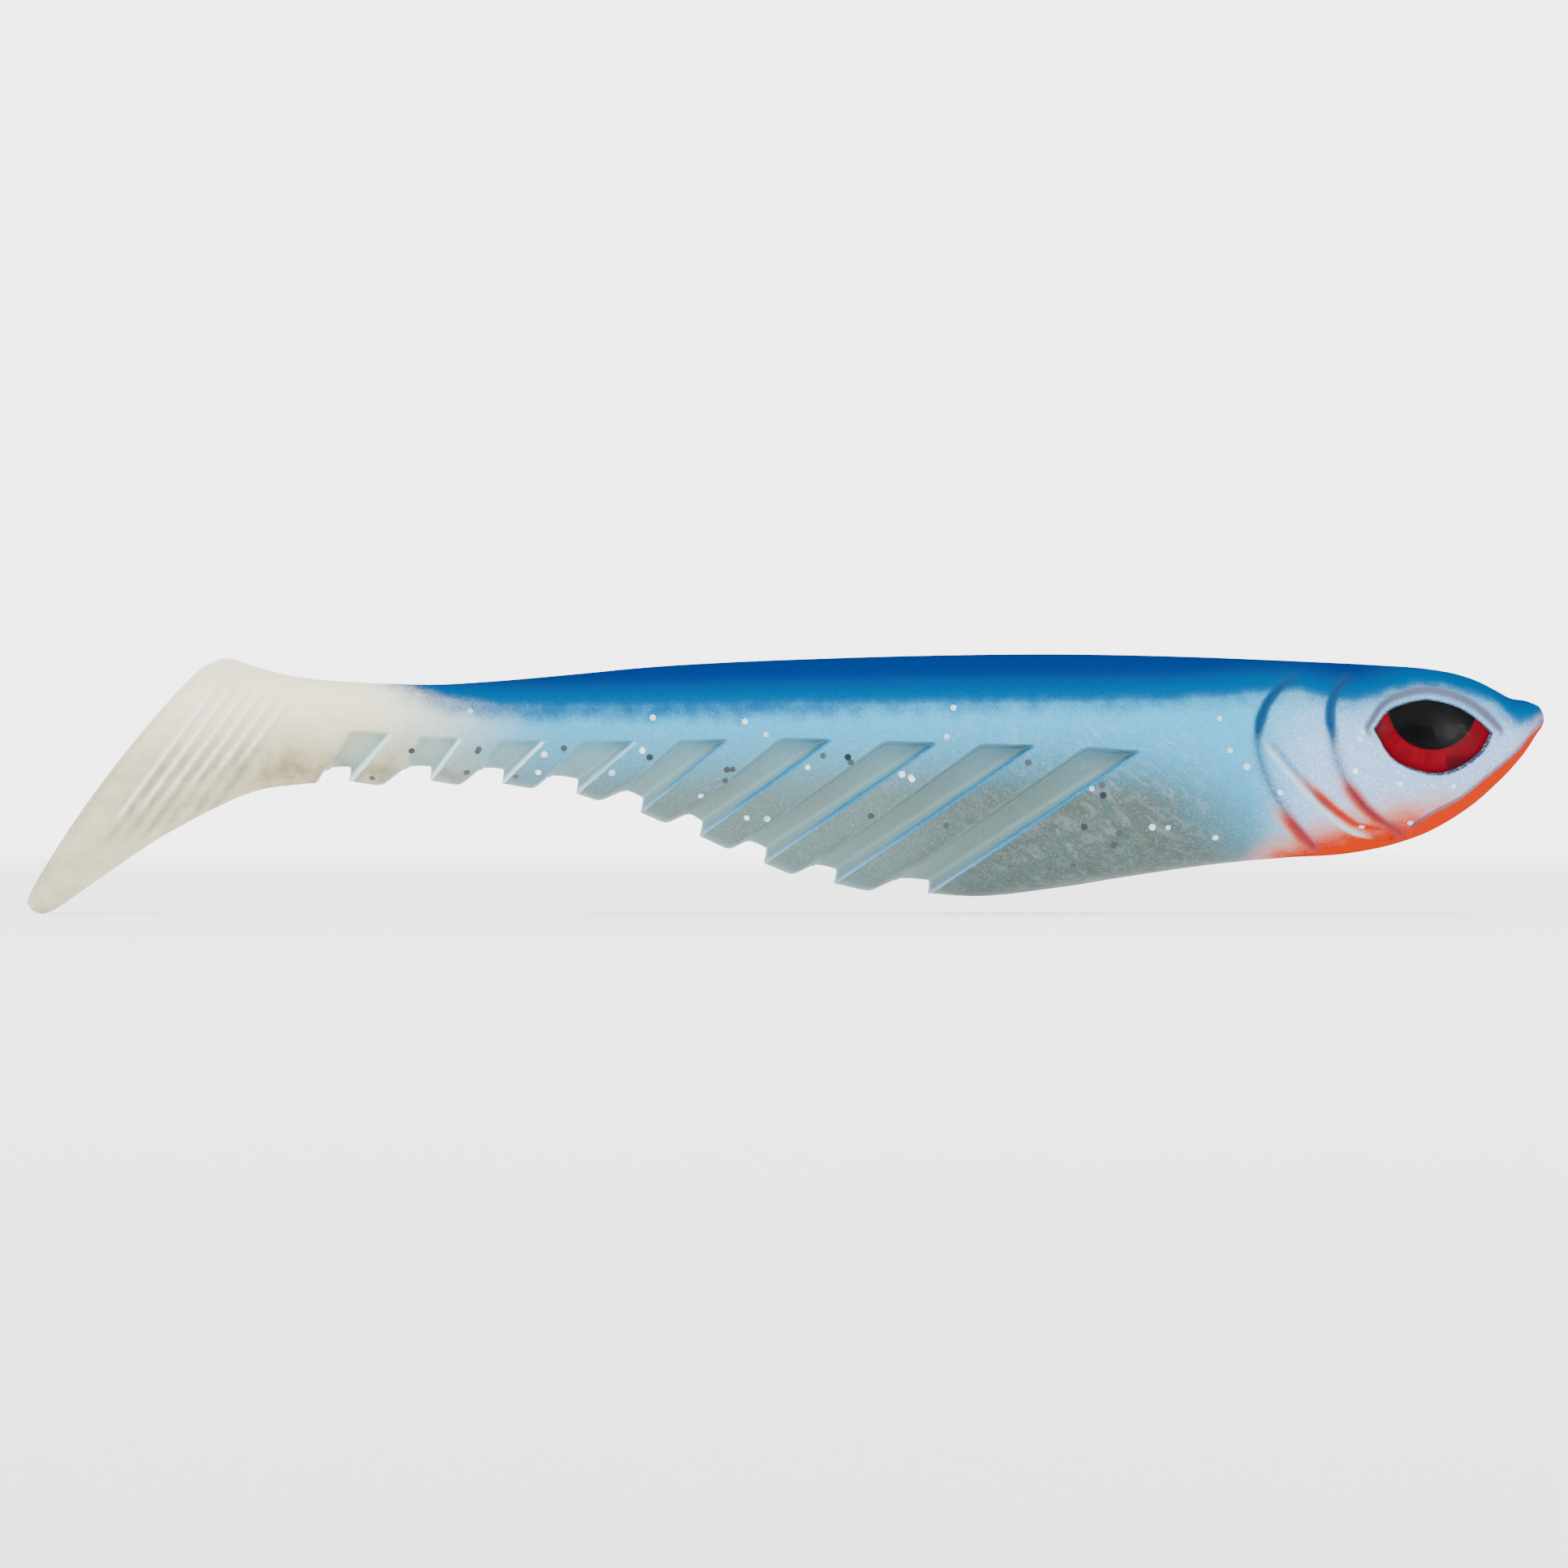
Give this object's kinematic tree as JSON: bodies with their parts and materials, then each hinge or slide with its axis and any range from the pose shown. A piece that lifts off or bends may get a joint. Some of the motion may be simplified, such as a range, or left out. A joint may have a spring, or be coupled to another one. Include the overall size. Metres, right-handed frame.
{
  "type": "ribbed soft swimbait",
  "caption": "Fish-shaped soft fishing lure with slanted ribs along its belly, a slim wrist and a paddle tail that bend side to side, and domed eyes.",
  "frame": {"origin": "tip of the nose, on the middle plane, where a hook point or jig eye enters", "axes": "+X out of the nose along the lure's length, +Z out of the back, +Y towards the lure's left side"},
  "size_m": [0.1298, 0.017, 0.0222],
  "materials": {
    "soft_body": "glossy soft PVC, blue back, pearl flank, orange throat, hexagonal glitter",
    "soft_web": "the same soft PVC, thinner and darker between the ribs",
    "eye_lens": "clear domed resin",
    "eye_foil": "printed metallic foil, red iris round a black pupil",
    "eye_adhesive": "white adhesive pad"
  },
  "bodies": {
    "trunk": {"head_trunk": "soft_body", "right_eye_lens": "eye_lens", "right_eye_foil": "eye_foil", "right_eye_adhesive": "eye_adhesive", "left_eye_lens": "eye_lens", "left_eye_foil": "eye_foil", "left_eye_adhesive": "eye_adhesive", "flex_web_1": "soft_web"},
    "rib_1": {"rib_segment_1": "soft_body", "flex_web_2": "soft_web"},
    "rib_2": {"rib_segment_2": "soft_body", "flex_web_3": "soft_web"},
    "rib_3": {"rib_segment_3": "soft_body", "flex_web_4": "soft_web"},
    "rib_4": {"rib_segment_4": "soft_body", "flex_web_5": "soft_web"},
    "rib_5": {"rib_segment_5": "soft_body", "flex_web_6": "soft_web"},
    "rib_6": {"rib_segment_6": "soft_body", "flex_web_7": "soft_web"},
    "rib_7": {"rib_segment_7": "soft_body", "flex_web_8": "soft_web"},
    "rib_8": {"rib_segment_8": "soft_body", "flex_web_9": "soft_web"},
    "wrist": {"tail_wrist": "soft_body", "flex_web_tail": "soft_web"},
    "paddle": {"tail_paddle": "soft_body"}
  },
  "joints": [
    {"name": "bend_1", "type": "hinge", "parent": "trunk", "child": "rib_1", "pos_m": [-0.037, 0, 0.00068], "axis": [0, 0, 1], "range_deg": [-8, 8], "stiffness_Nm_per_rad": 0.04, "deforming": ["flex_web_1"]},
    {"name": "bend_2", "type": "hinge", "parent": "rib_1", "child": "rib_2", "pos_m": [-0.0459, 0, 0.00088], "axis": [0, 0, 1], "range_deg": [-8, 8], "stiffness_Nm_per_rad": 0.034, "deforming": ["flex_web_2"]},
    {"name": "bend_3", "type": "hinge", "parent": "rib_2", "child": "rib_3", "pos_m": [-0.0542, 0, 0.001], "axis": [0, 0, 1], "range_deg": [-8.5, 8.5], "stiffness_Nm_per_rad": 0.027, "deforming": ["flex_web_3"]},
    {"name": "bend_4", "type": "hinge", "parent": "rib_3", "child": "rib_4", "pos_m": [-0.06315, 0, 0.00115], "axis": [0, 0, 1], "range_deg": [-9, 9], "stiffness_Nm_per_rad": 0.02, "deforming": ["flex_web_4"]},
    {"name": "bend_5", "type": "hinge", "parent": "rib_4", "child": "rib_5", "pos_m": [-0.0719, 0, 0.00108], "axis": [0, 0, 1], "range_deg": [-9.5, 9.5], "stiffness_Nm_per_rad": 0.013, "deforming": ["flex_web_5"]},
    {"name": "bend_6", "type": "hinge", "parent": "rib_5", "child": "rib_6", "pos_m": [-0.08, 0, 0.00105], "axis": [0, 0, 1], "range_deg": [-10, 10], "stiffness_Nm_per_rad": 0.0075, "deforming": ["flex_web_6"]},
    {"name": "bend_7", "type": "hinge", "parent": "rib_6", "child": "rib_7", "pos_m": [-0.08745, 0, 0.00108], "axis": [0, 0, 1], "range_deg": [-11, 11], "stiffness_Nm_per_rad": 0.0042, "deforming": ["flex_web_7"]},
    {"name": "bend_8", "type": "hinge", "parent": "rib_7", "child": "rib_8", "pos_m": [-0.0944, 0, 0.00118], "axis": [0, 0, 1], "range_deg": [-12, 12], "stiffness_Nm_per_rad": 0.0026, "deforming": ["flex_web_8"]},
    {"name": "bend_9", "type": "hinge", "parent": "rib_8", "child": "wrist", "pos_m": [-0.1003, 0, 0.0014], "axis": [0, 0, 1], "range_deg": [-12, 12], "stiffness_Nm_per_rad": 0.0018, "deforming": ["flex_web_9"]},
    {"name": "tail_kick", "type": "hinge", "parent": "wrist", "child": "paddle", "pos_m": [-0.107, 0, -0.001], "axis": [0, 0, 1], "range_deg": [-40, 40], "stiffness_Nm_per_rad": 0.0014, "deforming": ["flex_web_tail"]}
  ]
}
